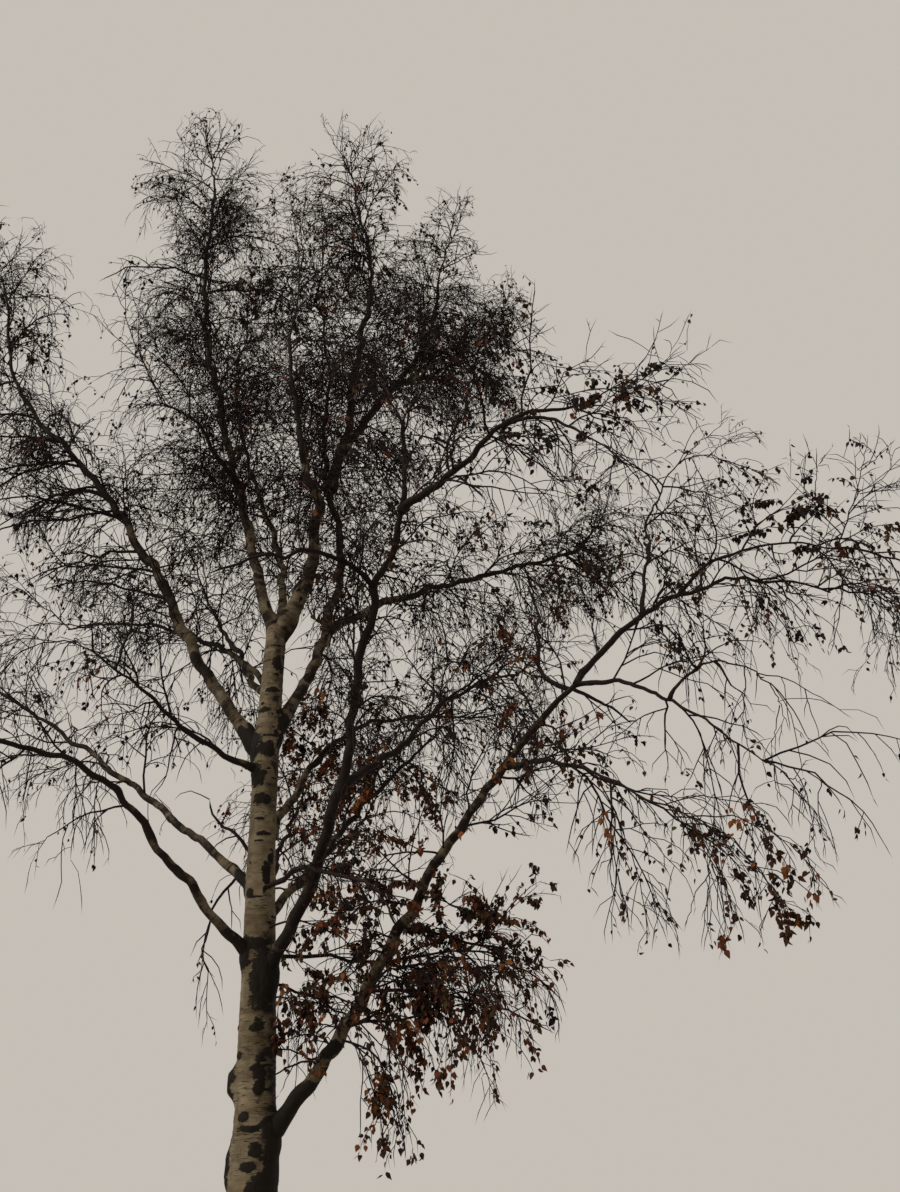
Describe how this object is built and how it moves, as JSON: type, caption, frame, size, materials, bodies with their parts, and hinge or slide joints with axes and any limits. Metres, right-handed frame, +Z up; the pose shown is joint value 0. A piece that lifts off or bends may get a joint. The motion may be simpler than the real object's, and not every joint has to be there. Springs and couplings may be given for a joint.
{
  "type": "bare silver birch tree",
  "caption": "Tall birch in late autumn: pale trunk with a root flare, rising and arching boughs, and masses of bare weeping twigs with the last brown leaves.",
  "frame": {"origin": "middle of the trunk's flat cut at ground level", "axes": "+Z up the trunk; +X to the side of the long low bough; -Y is the side that the picture was taken from"},
  "size_m": [13.261, 9.833, 18.554],
  "materials": {
    "trunk_bark": "peeling pale bark with dark cross scars and rough dark patches",
    "bough_bark": "thin brown bark, pale and blotched near the trunk",
    "twigs": "dark purplish brown twig bark",
    "leafy_twigs": "dark twigs with dry russet and brown leaves"
  },
  "bodies": {
    "root": {"trunk": "trunk_bark", "stem_left": "bough_bark", "stem_left_low": "bough_bark", "stem_back": "bough_bark", "stem_centre": "bough_bark", "inner_bough": "bough_bark", "peak_bough": "bough_bark", "shoulder_bough": "bough_bark", "wide_shoulder": "bough_bark", "front_bough": "bough_bark", "front_right": "bough_bark", "front_right_top": "bough_bark", "mid_bough": "bough_bark", "right_bough": "bough_bark", "low_right": "bough_bark", "far_right": "bough_bark", "far_right_top": "bough_bark", "upright_right": "bough_bark", "drooping_right": "bough_bark", "outer_right": "bough_bark", "hanging_bough": "bough_bark", "leafy_bough": "bough_bark", "back_right": "bough_bark", "rear_bough": "bough_bark", "rear_low": "bough_bark", "rear_left": "bough_bark", "low_left": "bough_bark", "second_left": "bough_bark", "third_left": "bough_bark", "long_left": "bough_bark", "crossing_left": "bough_bark", "twigs_stem_left": "twigs", "twigs_stem_left_low": "twigs", "twigs_stem_back": "twigs", "twigs_stem_centre": "twigs", "twigs_inner_bough": "twigs", "twigs_peak_bough": "twigs", "twigs_shoulder_bough": "twigs", "twigs_wide_shoulder": "twigs", "twigs_front_bough": "twigs", "twigs_front_right": "twigs", "twigs_front_right_top": "twigs", "twigs_mid_bough": "twigs", "twigs_right_bough": "twigs", "twigs_far_right": "twigs", "twigs_far_right_top": "twigs", "twigs_upright_right": "twigs", "twigs_drooping_right": "twigs", "twigs_outer_right": "twigs", "twigs_hanging_bough": "leafy_twigs", "twigs_leafy_bough": "leafy_twigs", "twigs_back_right": "twigs", "twigs_rear_bough": "twigs", "twigs_rear_low": "twigs", "twigs_rear_left": "twigs", "twigs_low_left": "twigs", "twigs_second_left": "twigs", "twigs_third_left": "twigs", "twigs_long_left": "twigs", "twigs_crossing_left": "twigs"}
  },
  "joints": []
}
